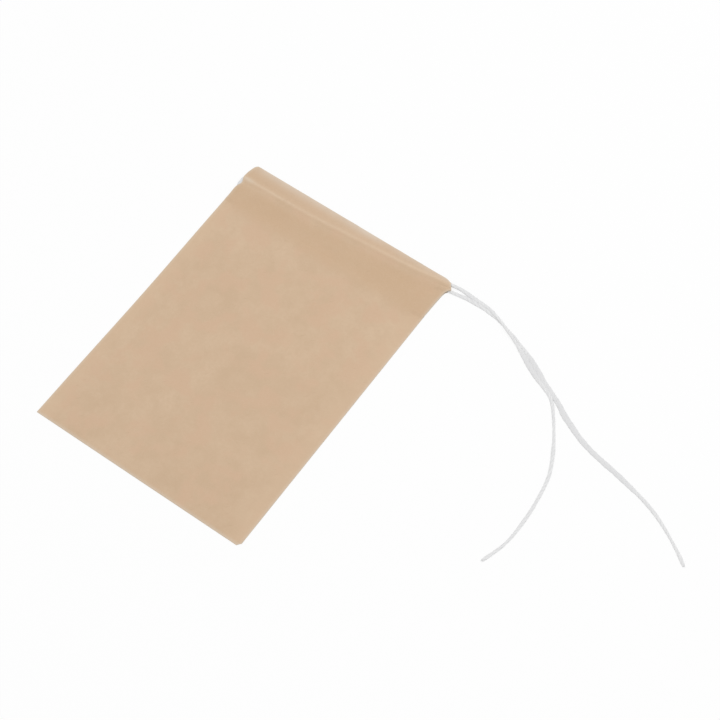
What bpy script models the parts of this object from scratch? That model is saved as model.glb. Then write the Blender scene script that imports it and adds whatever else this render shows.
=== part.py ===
"""Drawstring tea bag of unbleached filter paper, empty and lying flat, with its string's ends loose beside it.

Metres, +Z up. The origin is the middle of the bag's underside. +X runs along the mouth, towards the side where
the string's two ends come out, and +Y runs from the bottom fold to the mouth.
"""

import bpy
import numpy as np

# The bag, from edge to edge and from the bottom fold to the mouth
BAG_WIDTH = 0.070
BAG_LENGTH = 0.100
PAPER = 0.00013
CORNER = 0.0010

# The sealed sides, and the hems that are folded inwards at the mouth and sealed along their lower edge
SEAM = 0.0040
HEM = 0.0140
HEM_SEAL = 0.0025

# Room between the plies, and how far the front stands up over the pocket and at the mouth
PLY_GAP = 0.00005
POCKET_RISE = 0.0015
MOUTH_RISE = 0.00025
PRESSED = 0.1
HEM_DRAPE = 0.0040
PILLOW_POWER = 0.7

# The string, its room in the hems and its lines there
STRING = 0.0009
CLEARANCE = 0.0003
TUNNEL_EASE = 0.00005
FOLD_EASE = 0.00027
LINES_APART = 0.0006
PAPER_DRAPE = 0.0009
STRING_ABOVE_SEAL = 0.0008
LOOP_RADIUS = 0.0018
LOOP_EASE = 0.00025
TABLE_GAP = 0.00002

# How finely the shapes are divided
POCKET_COLUMNS = 15
POCKET_ROWS = 13
DENSE_STEPS = 24
TAIL_STEP = 0.0031
RUN_STEP = 0.0140
LOOP_STEP = 0.0007

PAPER_COLOUR = (0.624, 0.456, 0.309)
STRING_COLOUR = (0.80, 0.80, 0.81)

# The loose ends as they lie on the table: places from the bag's mouth corner on the string's side, and the lift
# of the string's middle over where it lies. The short end passes over the long one in a low hump.
SHORT_END = (
    (0.0015, -0.0011, 0.00065), (0.0044, -0.0007, 0.00030), (0.0074, -0.0007, 0.00022),
    (0.0105, -0.0009, 0.00055), (0.0135, -0.0014, 0.00100), (0.0165, -0.0024, 0.00125),
    (0.0195, -0.0037, 0.00128), (0.0220, -0.0049, 0.00122), (0.0245, -0.0060, 0.00095),
    (0.0276, -0.0077, 0.00040), (0.0312, -0.0098, 0.00008), (0.0347, -0.0118, 0.0),
    (0.0387, -0.0137, 0.0), (0.0418, -0.0148, 0.0), (0.0440, -0.0162, 0.0),
    (0.0465, -0.0191, 0.0), (0.0488, -0.0222, 0.0), (0.0508, -0.0253, 0.0),
    (0.0527, -0.0285, 0.0), (0.0544, -0.0318, 0.0), (0.0558, -0.0351, 0.0),
    (0.0567, -0.0388, 0.0), (0.0573, -0.0427, 0.0), (0.0577, -0.0468, 0.0),
    (0.0578, -0.0510, 0.0), (0.0577, -0.0553, 0.0), (0.0571, -0.0598, 0.0),
    (0.0562, -0.0628, 0.0), (0.0549, -0.0666, 0.0),
)
LONG_END = (
    (0.0025, -0.0030, 0.00025), (0.0058, -0.0027, 0.00005), (0.0096, -0.0026, 0.0),
    (0.0130, -0.0025, 0.0), (0.0165, -0.0028, 0.0), (0.0195, -0.0036, 0.0),
    (0.0220, -0.0045, 0.0), (0.0250, -0.0054, 0.0), (0.0285, -0.0067, 0.0),
    (0.0325, -0.0085, 0.0), (0.0363, -0.0105, 0.0), (0.0400, -0.0125, 0.0),
    (0.0438, -0.0144, 0.0), (0.0463, -0.0158, 0.0), (0.0490, -0.0175, 0.0),
    (0.0527, -0.0194, 0.0), (0.0566, -0.0212, 0.0), (0.0608, -0.0225, 0.0),
    (0.0656, -0.0236, 0.0), (0.0705, -0.0246, 0.0), (0.0752, -0.0257, 0.0),
    (0.0797, -0.0269, 0.0), (0.0838, -0.0283, 0.0), (0.0875, -0.0299, 0.0),
    (0.0910, -0.0317, 0.0), (0.0943, -0.0337, 0.0), (0.0973, -0.0357, 0.0),
    (0.0997, -0.0375, 0.0),
)

# Places that follow from the sizes above
SIDE = BAG_WIDTH / 2
POCKET_SIDE = SIDE - SEAM
BOTTOM = -BAG_LENGTH / 2
MOUTH = BAG_LENGTH / 2
HEM_EDGE = MOUTH - HEM
SEAL_END = HEM_EDGE + HEM_SEAL
STRING_RADIUS = STRING / 2
TUNNEL = STRING + 2 * CLEARANCE
TUNNEL_FLAT = STRING_RADIUS + CLEARANCE + TUNNEL_EASE
BACK_LEFT = SEAL_END + PAPER_DRAPE + TUNNEL_FLAT + STRING_ABOVE_SEAL
FRONT_LEFT = BACK_LEFT + 2 * LOOP_RADIUS
FRONT_RIGHT = MOUTH - PAPER - TUNNEL_FLAT - FOLD_EASE
BACK_RIGHT = FRONT_RIGHT - 2 * TUNNEL_FLAT - LINES_APART

# The plies in the stack, lowest first, by their number. Between the hems lies the mouth.
BACK_PANEL, BACK_TUNNEL, BACK_HEM, MOUTH_AIR, FRONT_HEM, FRONT_TUNNEL, FRONT_PANEL = range(7)
PLIES = 7

# How much of its thickness a fold keeps at its very edge, and one ply further in
FOLD_ROUNDING = (0.55, 0.92)
FOLD_ROWS = len(FOLD_ROUNDING)


def clear_scene():
    """Remove every object of the startup scene."""
    for item in list(bpy.data.objects):
        bpy.data.objects.remove(item, do_unlink=True)


def finish_of(name, colour, roughness):
    """A plain Principled material of this colour and roughness."""
    material = bpy.data.materials.new(name)
    material.use_nodes = True
    shader = material.node_tree.nodes["Principled BSDF"]
    shader.inputs["Base Color"].default_value = (*colour, 1.0)
    shader.inputs["Roughness"].default_value = roughness
    shader.inputs["Metallic"].default_value = 0.0
    return material


def add_part(name, data, material, parent):
    """Put this mesh or curve into the scene as one named part."""
    part = bpy.data.objects.new(name, data)
    part.data.materials.append(material)
    part.parent = parent
    bpy.context.collection.objects.link(part)
    return part


def front_line(x):
    """How far up the bag the string lies in the front hem at x: a straight line from side to side."""
    return np.interp(x, (-SIDE, SIDE), (FRONT_LEFT, FRONT_RIGHT))


def back_line(x):
    """The same for the back hem."""
    return np.interp(x, (-SIDE, SIDE), (BACK_LEFT, BACK_RIGHT))


def drape_at(x):
    """How far the paper takes to come down beside the string: shorter where the two lines come close."""
    return np.minimum(PAPER_DRAPE, front_line(x) - back_line(x) - 2 * TUNNEL_FLAT)


def over_string(x, away):
    """1 within the tunnel's flat top, then half a cosine wave down to 0 over the drape."""
    past = np.clip((away - TUNNEL_FLAT) / drape_at(x), 0.0, 1.0)
    return 0.5 + 0.5 * np.cos(np.pi * past)


def mouth_room(x, y):
    """Height of the air between the back and the front: a pillow in the pocket that flattens into the mouth.

    Across the bag it is a parabola. Along it, a sine wave raised to a power makes the pillow, and a straight
    rise carries it up to the mouth.
    """
    across = np.clip(1.0 - (x / POCKET_SIDE) ** 2, 0.0, 1.0)
    along = np.clip((y - BOTTOM) / (HEM_EDGE - BOTTOM), 0.0, 1.0)
    pillow = np.clip(np.sin(np.pi * along), 0.0, 1.0) ** PILLOW_POWER
    return PLY_GAP + across * (POCKET_RISE * pillow + MOUTH_RISE * along)


def ply_heights(x, y):
    """Height of each ply of the stack at x and y, lowest first."""
    hem_share = np.clip(1.0 + (y - HEM_EDGE) / HEM_DRAPE, PRESSED, 1.0)
    back_air = PLY_GAP + (TUNNEL - PLY_GAP) * over_string(x, np.abs(y - back_line(x)))
    front_air = PLY_GAP + (TUNNEL - PLY_GAP) * over_string(x, np.abs(y - front_line(x)))
    heights = {
        BACK_PANEL: np.full(y.shape, PAPER),
        BACK_TUNNEL: back_air * hem_share,
        BACK_HEM: PAPER * hem_share,
        MOUTH_AIR: mouth_room(x, y),
        FRONT_HEM: PAPER * hem_share,
        FRONT_TUNNEL: front_air * hem_share,
        FRONT_PANEL: np.full(y.shape, PAPER),
    }
    return np.stack([heights[ply] for ply in range(PLIES)], axis=-1)


def row_places(x):
    """The rows of the grid up the bag at x. In the hem they follow the string's two lines."""
    back, front, drape = back_line(x), front_line(x), drape_at(x)
    inside_fold = MOUTH - PAPER
    pocket = np.linspace(BOTTOM + CORNER, HEM_EDGE - HEM_DRAPE, POCKET_ROWS)
    rows = [BOTTOM, BOTTOM + PAPER, *pocket, HEM_EDGE, SEAL_END]
    rows += [back - TUNNEL_FLAT - drape, back - TUNNEL_FLAT, back + TUNNEL_FLAT, (back + front) / 2]
    rows += [front - TUNNEL_FLAT, front + TUNNEL_FLAT, (front + TUNNEL_FLAT + inside_fold) / 2]
    rows += [inside_fold, MOUTH]
    return np.stack([np.broadcast_to(row, x.shape) for row in rows], axis=-1)


def corner_cut(y):
    """How far the sides are drawn in by the rounded corners: a quarter circle at each end."""
    from_end = np.clip(np.minimum(MOUTH - y, y - BOTTOM), 0.0, CORNER)
    return CORNER - np.sqrt(CORNER**2 - (CORNER - from_end) ** 2)


def round_fold(levels, rows):
    """Draw the levels of a fold together about their middle, in its outermost row and the next one."""
    for row, kept in zip(rows, FOLD_ROUNDING):
        middle = (levels[:, row, :1] + levels[:, row, -1:]) / 2
        levels[:, row] = middle + kept * (levels[:, row] - middle)


def stack_nodes():
    """Corners of all cells of the stack: columns across the bag, rows up it and levels through it."""
    x = np.concatenate(([-SIDE], np.linspace(-POCKET_SIDE, POCKET_SIDE, POCKET_COLUMNS), [SIDE]))
    y = row_places(x)
    across = np.repeat(x[:, None], y.shape[1], axis=1)
    levels = np.zeros((*y.shape, PLIES + 1))
    levels[:, :, 1:] = np.cumsum(ply_heights(across, y), axis=-1)
    round_fold(levels, (0, 1))
    round_fold(levels[:, :, : MOUTH_AIR + 1], (-1, -2))
    round_fold(levels[:, :, MOUTH_AIR + 1 :], (-1, -2))
    cut = corner_cut(y)
    across[0] += cut[0]
    across[-1] -= cut[-1]
    spread = np.ones(PLIES + 1)
    return np.stack([across[:, :, None] * spread, y[:, :, None] * spread, levels], axis=-1)


def paper_cells(columns, rows):
    """Which cells of the stack are paper: the panels, the folds, the sealed sides, the hems and their seals."""
    hem = FOLD_ROWS + POCKET_ROWS
    paper = np.zeros((columns - 1, rows - 1, PLIES), bool)
    paper[:, :, [BACK_PANEL, FRONT_PANEL]] = True
    paper[:, 0] = True
    paper[[0, -1]] = True
    paper[:, hem:, [BACK_HEM, FRONT_HEM]] = True
    for tunnel in (BACK_TUNNEL, FRONT_TUNNEL):
        paper[:, hem + 1 : -1, tunnel] = False
        paper[:, hem, tunnel] = True
        paper[:, -1, tunnel] = True
    return paper


def skin_faces(cells, node_shape):
    """The closed surface of these cells: a face wherever a filled cell meets an empty one, facing the empty one."""
    number = np.arange(np.prod(node_shape)).reshape(node_shape)
    padded = np.pad(cells, 1)
    faces = []
    for axis in range(3):
        around = np.moveaxis(padded, axis, 0)[:, 1:-1, 1:-1]
        nodes = np.moveaxis(number, axis, 0)
        quads = [nodes[:, :-1, :-1], nodes[:, 1:, :-1], nodes[:, 1:, 1:], nodes[:, :-1, 1:]]
        quads = np.stack(quads if axis != 1 else quads[::-1], axis=-1)
        below, above = around[:-1], around[1:]
        faces.append(quads[below & ~above])
        faces.append(quads[~below & above][:, ::-1])
    return np.concatenate(faces)


def paper_bag(parent):
    """The bag: one web of filter paper, folded at the bottom and inwards at the mouth, with sealed sides."""
    nodes = stack_nodes()
    faces = skin_faces(paper_cells(*nodes.shape[:2]), nodes.shape[:3])
    used, renumbered = np.unique(faces, return_inverse=True)
    mesh = bpy.data.meshes.new("paper_bag")
    mesh.from_pydata(nodes.reshape(-1, 3)[used].tolist(), [], renumbered.reshape(-1, 4).tolist())
    mesh.shade_smooth()
    mesh.set_sharp_from_angle(angle=np.radians(35.0))
    return add_part("paper_bag", mesh, finish_of("filter_paper", PAPER_COLOUR, 0.9), parent)


def tunnel_floor(x):
    """Height of the upper side of the front hem at x, under the string's line."""
    y = np.asarray(front_line(x))
    return ply_heights(x, y)[..., :FRONT_TUNNEL].sum(axis=-1)


def front_run():
    """Route of the string through the front hem, from the open side to the far side."""
    x = np.array([SIDE, SIDE - SEAM, SIDE / 2, 0.0, -SIDE / 2, -POCKET_SIDE, LOOP_RADIUS + loop_reach()])
    return np.stack([x, front_line(x), tunnel_floor(x) + CLEARANCE + STRING_RADIUS], axis=1)


def back_run():
    """Route of the string through the back hem, from the far side to the open side."""
    x = np.array([LOOP_RADIUS + loop_reach(), -POCKET_SIDE, -SIDE / 2, 0.0, SIDE / 2, SIDE - SEAM, SIDE])
    height = PAPER + CLEARANCE + STRING_RADIUS
    return np.stack([x, back_line(x), np.full(x.shape, height)], axis=1)


def loop_reach():
    """Where the middle of the string turns round the far side of the bag."""
    return -SIDE - STRING_RADIUS - CLEARANCE - LOOP_EASE


def side_loop():
    """Route of the string round the side: a half circle that comes down a ply while it is outside the paper."""
    turn = np.array((20.0, 40.0, 60.0, 75.0, 90.0, 105.0, 120.0, 140.0, 160.0))
    lowered = np.interp(turn, (60.0, 120.0), (0.0, 1.0))
    start, end = front_run()[-1], back_run()[0]
    x = loop_reach() + LOOP_RADIUS * (1.0 - np.sin(np.radians(turn)))
    y = (start[1] + end[1]) / 2 + LOOP_RADIUS * np.cos(np.radians(turn))
    return np.stack([x, y, start[2] + (end[2] - start[2]) * lowered], axis=1)


def loose_end(places):
    """Route of a loose end, from the bag outwards."""
    places = np.array(places)
    corner = np.array([SIDE, MOUTH, STRING_RADIUS + TABLE_GAP])
    return places + corner


def smooth_curve(points):
    """A dense smooth curve through these points, with as many steps in each stretch between two of them.

    Each stretch is a cubic whose slope at a point is that of the chord between its two neighbours.
    """
    chord = np.linalg.norm(np.diff(points, axis=0), axis=1)
    at = np.concatenate(([0.0], np.cumsum(chord)))
    slope = np.gradient(points, at, axis=0)
    dense = []
    for i, length in enumerate(chord):
        u = (np.arange(DENSE_STEPS) / DENSE_STEPS)[:, None]
        start = (2 * u**3 - 3 * u**2 + 1) * points[i] + (u**3 - 2 * u**2 + u) * length * slope[i]
        end = (3 * u**2 - 2 * u**3) * points[i + 1] + (u**3 - u**2) * length * slope[i + 1]
        dense.append(start + end)
    return np.concatenate([*dense, points[-1:]])


def spaced(curve, step):
    """This stretch of curve at even spaces of about one step, with both its ends."""
    at = np.concatenate(([0.0], np.cumsum(np.linalg.norm(np.diff(curve, axis=0), axis=1))))
    places = np.linspace(0.0, at[-1], int(round(at[-1] / step)) + 1)
    return np.stack([np.interp(places, at, curve[:, i]) for i in range(3)], axis=1)


def string_route():
    """The whole string: short end, front hem, loop round the side, back hem, long end."""
    stretches = [
        (loose_end(SHORT_END)[::-1], TAIL_STEP),
        (front_run(), RUN_STEP),
        (side_loop(), LOOP_STEP),
        (back_run(), RUN_STEP),
        (loose_end(LONG_END), TAIL_STEP),
    ]
    curve = smooth_curve(np.concatenate([points for points, step in stretches]))
    route, first = [], 0
    for points, step in stretches:
        last = min(first + len(points) * DENSE_STEPS, len(curve) - 1)
        route.append(spaced(curve[first : last + 1], step)[:-1])
        first = last
    return np.concatenate([*route, curve[-1:]])


def drawstring(parent):
    """The string: a round soft cord along its route, with flat cut ends."""
    route = string_route()
    curve = bpy.data.curves.new("drawstring", "CURVE")
    curve.dimensions = "3D"
    curve.bevel_depth = STRING_RADIUS
    curve.bevel_resolution = 2
    curve.use_fill_caps = True
    curve.render_resolution_u = 0
    spline = curve.splines.new("POLY")
    spline.points.add(len(route) - 1)
    places = np.concatenate([route, np.ones((len(route), 1))], axis=1)
    spline.points.foreach_set("co", places.ravel())
    return add_part("drawstring", curve, finish_of("cotton_string", STRING_COLOUR, 0.95), parent)


def main():
    clear_scene()
    tea_bag = bpy.data.objects.new("tea_bag", None)
    bpy.context.collection.objects.link(tea_bag)
    paper_bag(tea_bag)
    drawstring(tea_bag)


main()
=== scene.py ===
"""Drawstring tea bag of unbleached filter paper: paper, string, table, light and camera."""

import bpy
import numpy as np
from mathutils import Matrix


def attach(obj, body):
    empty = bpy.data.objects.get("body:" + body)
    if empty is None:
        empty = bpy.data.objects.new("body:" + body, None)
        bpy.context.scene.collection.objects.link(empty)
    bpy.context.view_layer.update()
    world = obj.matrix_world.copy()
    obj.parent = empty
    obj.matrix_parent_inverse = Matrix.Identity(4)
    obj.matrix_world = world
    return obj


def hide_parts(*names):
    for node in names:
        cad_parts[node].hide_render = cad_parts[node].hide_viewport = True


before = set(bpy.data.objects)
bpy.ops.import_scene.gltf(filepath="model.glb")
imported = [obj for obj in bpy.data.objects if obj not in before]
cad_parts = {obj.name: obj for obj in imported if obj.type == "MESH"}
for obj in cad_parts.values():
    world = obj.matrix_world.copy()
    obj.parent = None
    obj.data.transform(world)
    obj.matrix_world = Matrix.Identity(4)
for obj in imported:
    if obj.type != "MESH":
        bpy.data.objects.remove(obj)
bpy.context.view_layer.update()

bl_info = {
    "name": "Drawstring tea bag",
    "version": (1, 0, 0),
    "blender": (4, 5, 0),
    "location": "3D View > Sidebar > Tea bag",
    "description": "Makes the paper, the string and the stage of a flat drawstring tea bag",
    "category": "Object",
}

BODY = "root"

# The bag's own sizes, in metres, as its solids have them
BAG_WIDTH = 0.070
BAG_LENGTH = 0.100
SEAM = 0.0040
HEM = 0.0140
SIDE = BAG_WIDTH / 2
BOTTOM = -BAG_LENGTH / 2
MOUTH = BAG_LENGTH / 2
HEM_EDGE = MOUTH - HEM
POCKET_SIDE = SIDE - SEAM
TABLE_GAP = 0.00002
TURN = 2 * np.pi

# The string's lines in the hems: the front one bends up at a knee and is lifted at the exit
FRONT_LEFT, FRONT_CLIMB = 0.0440, 0.0785
FRONT_KNEE, FRONT_BEND = -0.012, 0.006
EXIT_LIFT = 0.0008
BACK_LEFT, BACK_RIGHT = 0.04100, 0.04664

# The string inside them: where its line is set, its loop's distance from the edge, its width and thickness
HEM_STOPS = (SIDE, 0.031, 0.024, 0.012, 0.0, -0.012, -0.024, -0.031, -0.0341)
LOOP_INSET = 0.00052
HEM_STRING_WIDTH = 0.00124
PRESSED_HEIGHT, ROUNDER_BY = 0.00036, 0.00008

# The paper over the string: how wide the plies rise over it, from below, and how much less at the corner
BACK_RISE, FRONT_RISE, SNUG_BY = 0.00100, 0.00115, 0.24
HEM_RISE, HEM_RISE_LESS = 0.0027, 0.0018

# The mouth: how far its folds are set back, its corner's drop, and where the small folds there fan out from
MOUTH_SET_BACK, FRONT_SET_BACK = 0.00015, 0.00028
CORNER_DROP = 0.00075
CREASE_X, CREASE_Y, CREASE_HEIGHT = 0.0365, 0.0478, 0.00011

# The paper's grid: the outermost column's breadth, where columns and rows get closer, and their numbers
RIM = 0.00005
EXIT_SIDE = 0.0260
SEAL_FOOT = 0.0030
SIDE_COLUMNS, MIDDLE_COLUMNS, EXIT_COLUMNS, MEASURED_COLUMN = 9, 57, 26, 40
HEM_ROWS, RIDGE_ROWS, PANEL_ROWS, BACK_ROWS, FOLD_ROWS = 44, 104, 92, 90, 9

# The loose string: the share of its lifts that soft yarn keeps, its section in square metres, how near two
# strands lie as a share of their widths, from where to where they do, and how much is still in the hem
LIFT_KEPT = 0.38
SECTION, THINNEST, THICKEST = 0.50e-6, 0.00038, 0.00045
NEARNESS, BESIDE_FROM, BESIDE_TO = 0.41, 0.0012, 0.0475
STILL_IN_HEM = 0.0050

# Its fibres: how many stand off a loose end and spread from a cut one, a hair's grid, and even spreads
STRAY_FIBRES = {"short_end": 620, "long_end": 640}
FRAYED_FIBRES = 14
HAIR_ROWS, HAIR_SIDES, HAIR_RADIUS = 5, 3, 0.000014
EVEN_RATIOS = (0.61803399, 0.75487767, 0.56984029, 0.32471796)

# The stage: half the table's side, and where the soft light is from, what it points at and its side
TABLE_REACH = 1.5
LIGHT_FROM, LIGHT_AT, LIGHT_SIDE = (0.12, 0.34, 0.80), (0.02, 0.0, 0.0), 0.45

# The loose ends from the mouth's right corner, and the string's lift, in hundredths of a millimetre. The
# short end passes over the long one in a low hump.
PLACE_UNIT = 1e-5
SHORT_END = (
    (150, -110, 65), (439, -60, 30), (740, -61, 22), (1051, -84, 12), (1353, -129, 30),
    (1656, -225, 78), (1962, -343, 118), (2214, -459, 118), (2465, -570, 90), (2776, -742, 40),
    (3137, -950, 8), (3486, -1149, 0), (3884, -1338, 0), (4194, -1451, 0), (4420, -1598, 0),
    (4672, -1892, 0), (4899, -2207, 0), (5102, -2517, 0), (5290, -2839, 0), (5457, -3172, 0),
    (5594, -3506, 0), (5680, -3878, 0), (5735, -4269, 0), (5776, -4680, 0), (5787, -5100, 0),
    (5779, -5531, 0), (5716, -5981, 0), (5625, -6282, 0), (5511, -6611, 0),
)
LONG_END = (
    (250, -300, 25), (579, -260, 5), (960, -252, 0), (1300, -241, 0), (1652, -266, 0), (1958, -334, 0),
    (2210, -420, 0), (2511, -508, 0), (2862, -640, 0), (3265, -819, 0), (3646, -1019, 0),
    (4016, -1219, 0), (4395, -1412, 0), (4643, -1559, 0), (4908, -1737, 0), (5278, -1924, 0),
    (5666, -2104, 0), (6082, -2242, 0), (6562, -2350, 0), (7054, -2443, 0), (7525, -2552, 0),
    (7978, -2664, 0), (8391, -2801, 0), (8762, -2966, 0), (9109, -3154, 0), (9440, -3355, 0),
    (9740, -3555, 0), (9933, -3700, 0),
)

# How wide the soft string lies, in millimetres, at so many millimetres from the start of each loose end
SHORT_WIDTHS = (
    (0, 1.08), (6, 1.34), (10, 1.16), (14, 1.00), (17, 0.94), (20, 0.84), (24, 0.84), (28, 1.14), (31, 1.54),
    (35, 1.66), (38, 1.38), (42, 1.18), (46, 1.05), (50, 0.92), (54, 0.75), (58, 0.88), (62, 1.18),
    (66, 1.08), (70, 1.00), (74, 1.02), (78, 0.92), (82, 1.08), (86, 1.00), (90, 0.84), (94, 0.84),
    (98, 1.02), (101, 0.92),
)
LONG_WIDTHS = (
    (0, 1.08), (6, 1.34), (10, 1.14), (14, 0.98), (17, 0.92), (20, 0.84), (24, 0.84), (28, 1.16), (31, 1.62),
    (35, 1.86), (38, 1.42), (42, 1.28), (46, 1.52), (50, 1.86), (54, 1.78), (58, 1.72), (62, 1.60),
    (66, 1.62), (70, 1.60), (74, 1.60), (78, 1.36), (82, 1.10), (86, 1.14), (90, 1.10), (94, 0.84),
    (98, 0.82), (102, 1.08), (105, 0.98),
)

# Faint waves of the limp front panel: height, turns across and up the bag per metre, and start
PANEL_WAVES = (
    (0.000060, 13.0, 21.0, 0.4), (0.000050, -24.0, 17.0, 2.1), (0.000040, 31.0, -9.0, 4.4),
    (0.000030, 44.0, 29.0, 1.2), (0.000022, -52.0, 41.0, 5.3), (0.000016, 71.0, -58.0, 3.0),
)
PANEL_LIFT = 0.00012

# Waves, each a height, a length and a start: of the mouth, its front fold, the yarn's width and its twist
MOUTH_GATHERS = ((0.16, 0.0093, 0.8), (0.10, 0.0061, 2.9))
FOLD_WAVES = ((0.00008, 0.017, 1.1),)
WIDTH_WAVES = ((0.030, 0.0047, 0.0), (0.024, 0.0079, 1.7), (0.018, 0.0021, 0.5))
TWIST_WAVES = ((0.9, 0.0131, 0.0),)


def smooth(low, high, value):
    """0 up to low, 1 from high on, and between them the S of a cubic, 3uu - 2uuu."""
    u = np.clip((value - low) / (high - low), 0.0, 1.0)
    return u * u * (3.0 - 2.0 * u)


def tent(away, width):
    """The bell exp(-dd) of the distance in widths: how paper stands over something slim under it."""
    return np.exp(-((away / width) ** 2))


def ripples(waves, at):
    """The sum of sine waves over the distance at, each of a height, a length and a start."""
    return sum(height * np.sin(TURN * at / length + start) for height, length, start in waves)


def front_line(x):
    """How far up the bag the string lies in the front hem: level on the left, then straight up to the corner,
    with half of past + root(past * past + bend * bend) as the soft knee, and steeper where it comes out."""
    past = x - FRONT_KNEE
    knee = (past + np.sqrt(past**2 + FRONT_BEND**2)) / 2
    return FRONT_LEFT + FRONT_CLIMB * knee + EXIT_LIFT * smooth(0.020, SIDE, x)


def back_line(x):
    """The same in the back hem: a straight line."""
    return BACK_LEFT + (BACK_RIGHT - BACK_LEFT) * (x + SIDE) / BAG_WIDTH


def string_height_in_hem(x):
    """How thick the soft string is inside the hem at x: pressed flat between the sides, rounder near them."""
    return PRESSED_HEIGHT + ROUNDER_BY * smooth(0.026, 0.034, np.abs(x))


def snug(x):
    """How wide the paper's rise over the string is at x, as a share of its width further in: it is tighter at
    the corner where the string comes out."""
    return 1.0 - SNUG_BY * smooth(0.0290, 0.0345, x)


def mouth_edge(x):
    """How far up the mouth's fold lies at x: level, and dropped at the corner that the string draws out."""
    return MOUTH - MOUTH_SET_BACK - CORNER_DROP * smooth(0.0325, SIDE, x) ** 1.6


class Plies:
    """Heights of the middle of each of the bag's four plies at x and y, in metres.

    From below: the back panel lies flat, the back hem stands over its string in a bell, the front hem passes
    over that in a wider one, and the front panel stands over its own string. Below the hems the front panel
    comes down to the back one and swells to a pillow, a parabola across and a powered sine along.
    """

    def __init__(self, paper):
        self.paper = paper.thickness
        self.ease = paper.ply_gap
        self.pillow = paper.pillow
        self.mouth = paper.mouth_air

    def across(self, x):
        return np.clip(1.0 - (x / POCKET_SIDE) ** 2, 0.0, 1.0)

    def back_panel(self, x, y):
        return np.full(np.broadcast(x, y).shape, TABLE_GAP + self.paper / 2)

    def back_hem(self, x, y):
        over = string_height_in_hem(x) * tent(y - back_line(x), BACK_RISE * snug(x))
        return self.back_panel(x, y) + self.paper + self.ease + over

    def mouth_room(self, x, y):
        """Air between the two hems: highest in the middle of the hem, less at the mouth and at the seal."""
        shoulder = 1.0 - 0.75 * smooth(0.0440, 0.0500, y) - 0.9 * smooth(0.0410, 0.0365, y)
        gather = 1.0 + ripples(MOUTH_GATHERS, x)
        return self.ease + self.mouth * self.across(x) * np.clip(shoulder, 0.0, 1.0) * gather

    def front_hem(self, x, y):
        from_line = y - back_line(x)
        flank = np.where(from_line > 0.0, HEM_RISE, HEM_RISE - HEM_RISE_LESS * smooth(0.026, 0.0330, x))
        over = string_height_in_hem(x) * tent(from_line, flank)
        return self.back_panel(x, y) + 2 * (self.paper + self.ease) + over + self.mouth_room(x, y)

    def front_panel(self, x, y):
        over = string_height_in_hem(x) * tent(y - front_line(x), FRONT_RISE * snug(x))
        hem = self.front_hem(x, y) + self.paper + self.ease + over
        pressed = self.back_panel(x, y) + self.paper + self.ease
        along = np.clip((y - BOTTOM) / (HEM_EDGE - BOTTOM), 0.0, 1.0)
        swell = self.pillow * self.across(x) * np.sin(np.pi * along) ** 0.6
        waves = sum(
            size * np.sin(TURN * (turns_x * x + turns_y * y) + start)
            for size, turns_x, turns_y, start in PANEL_WAVES
        )
        inside = smooth(0.0, 0.35, self.across(x)) * smooth(0.0, 0.08, along)
        loose = inside * (1.0 - smooth(0.93, 1.0, along))
        sealed = smooth(POCKET_SIDE - 0.0030, POCKET_SIDE + 0.0020, np.abs(x))
        step = smooth(HEM_EDGE - 0.0050 + 0.0037 * sealed, HEM_EDGE + 0.0006 - 0.0003 * sealed, y)
        return pressed + swell + (waves + PANEL_LIFT) * loose + (hem - pressed) * step


def creases(x, y):
    """Small folds that fan out from where the string drags the mouth corner, as a positive rise: half of
    1 + cos(15 * angle + 120 * distance + 0.6), strongest in a ring a few millimetres out."""
    from_x, from_y = x - CREASE_X, y - CREASE_Y
    far = np.hypot(from_x, from_y)
    angle = np.arctan2(from_y, -from_x)
    fan = 0.5 + 0.5 * np.cos(15.0 * angle + 0.6 + 120.0 * far)
    return CREASE_HEIGHT * fan * tent(far - 0.0046, 0.0034)


def drawn_outline(x, y):
    """Where a point of the flat web lies across the bag, once the corners are blunt, the mouth's left one
    leans in, the string has drawn the right one out and its loop has pinched the left side. The outer
    millimetres of a side move with its edge, less and less inwards."""
    right = smooth(0.0240, SIDE, x)
    left = smooth(0.0300, SIDE, -x)
    wider = 0.00026 + 0.00020 * smooth(0.0360, 0.0440, y) + 0.00016 * smooth(0.0430, 0.0460, y)
    pulled = wider + 0.00115 * tent(y - 0.0472, 0.0010)
    blunt_right = 0.0009 * smooth(BOTTOM + 0.0013, BOTTOM, y) ** 2
    rounded = 0.0017
    up_the_round = np.clip((y - (MOUTH - rounded)) / rounded, 0.0, 1.0)
    leaning = 0.22 * np.clip(y - 0.0462, 0.0, None)
    blunt_left = leaning + rounded * (1.0 - np.sqrt(1.0 - up_the_round**2))
    in_hem = smooth(0.0350, 0.0365, y) * (1.0 - smooth(0.0410, 0.0445, y))
    drawn_in = 0.00018 + 0.00032 * tent(y + 0.0040, 0.0260) + 0.00015 * in_hem
    pinched = 0.00075 * tent(y - 0.0423, 0.0015)
    return x + right * (pulled - blunt_right) + left * (drawn_in + pinched + blunt_left)


def hermite(points, steps):
    """A smooth curve through points: each stretch is a cubic with the slope of the chords at its ends."""
    chord = np.linalg.norm(np.diff(points, axis=0), axis=1)
    at = np.concatenate(([0.0], np.cumsum(chord)))
    slope = np.gradient(points, at, axis=0)
    u = (np.arange(steps) / steps)[None, :, None]
    length = chord[:, None, None]
    start = (2 * u**3 - 3 * u**2 + 1) * points[:-1, None] + (u**3 - 2 * u**2 + u) * length * slope[:-1, None]
    end = (3 * u**2 - 2 * u**3) * points[1:, None] + (u**3 - u**2) * length * slope[1:, None]
    return np.concatenate([(start + end).reshape(-1, points.shape[1]), points[-1:]])


def lengths_along(line):
    """How far along the line each of its points is."""
    return np.concatenate(([0.0], np.cumsum(np.linalg.norm(np.diff(line, axis=0), axis=1))))


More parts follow.
